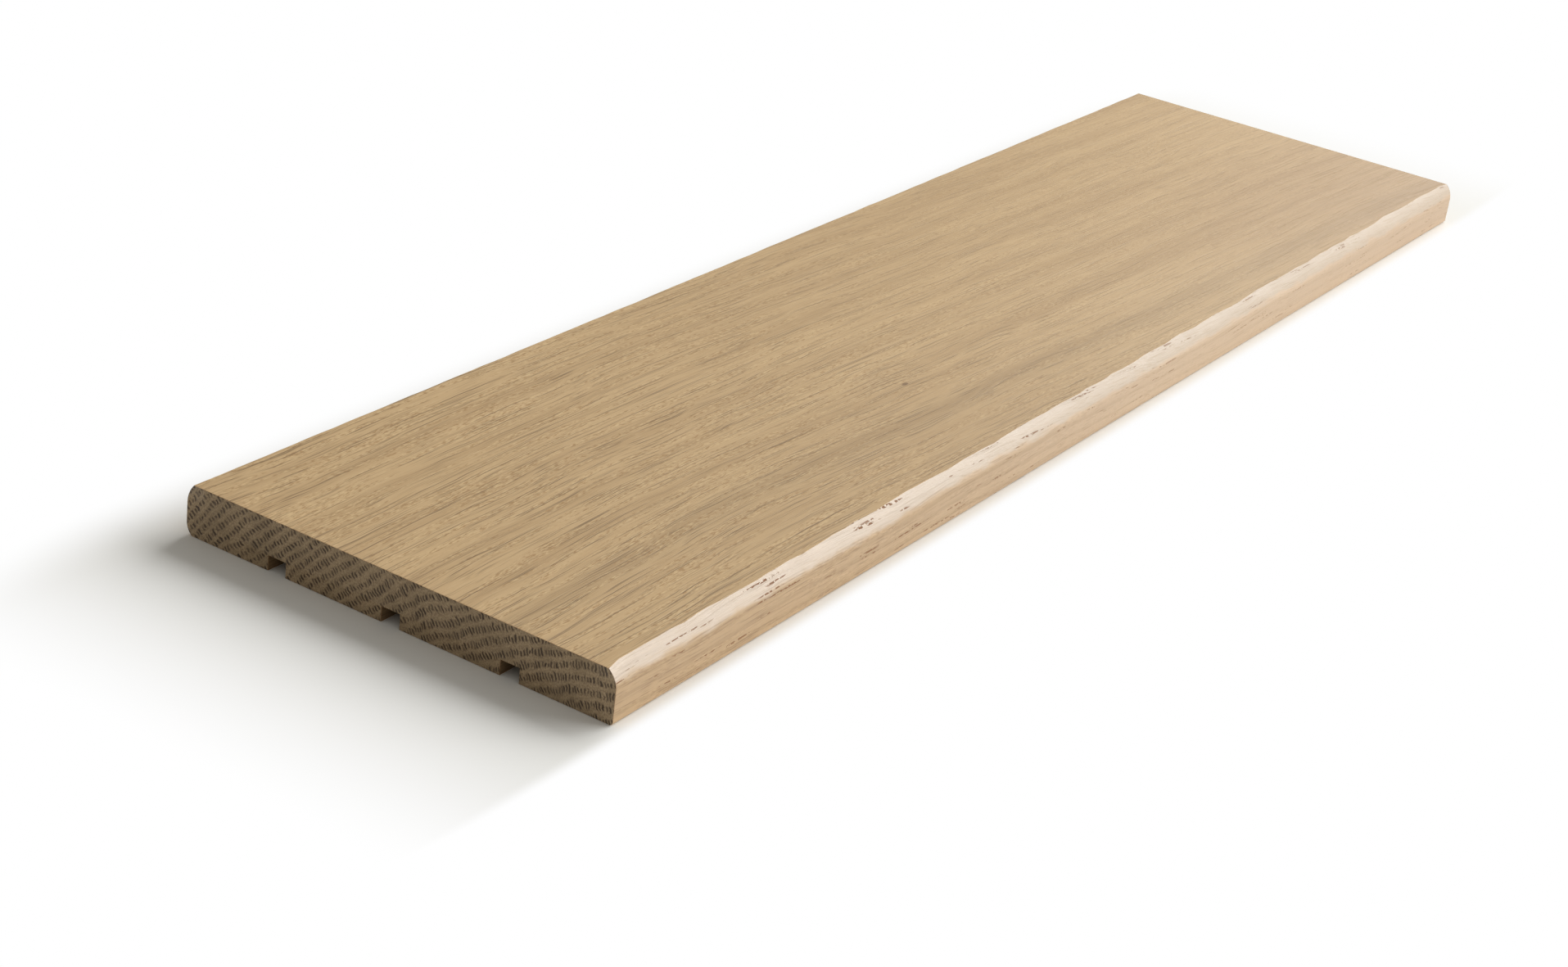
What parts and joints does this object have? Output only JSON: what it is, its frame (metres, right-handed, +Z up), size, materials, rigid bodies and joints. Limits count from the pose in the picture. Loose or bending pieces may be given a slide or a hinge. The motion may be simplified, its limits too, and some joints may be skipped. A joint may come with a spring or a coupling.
{
  "type": "door threshold",
  "caption": "Solid oak door threshold: a flat board with rounded long edges, relief grooves along its underside and square-sawn ends, laid across a doorway.",
  "frame": {"origin": "middle of the underside, on the floor line", "axes": "+X along the board's length, from jamb to jamb; -Y to the front edge; +Z up, out of the tread face"},
  "size_m": [0.55, 0.141, 0.015],
  "materials": {
    "oak": "planed and sanded bare oak, with long fine grain; the sawn ends show dark end grain"
  },
  "bodies": {
    "root": {"threshold_board": "oak"}
  },
  "joints": []
}
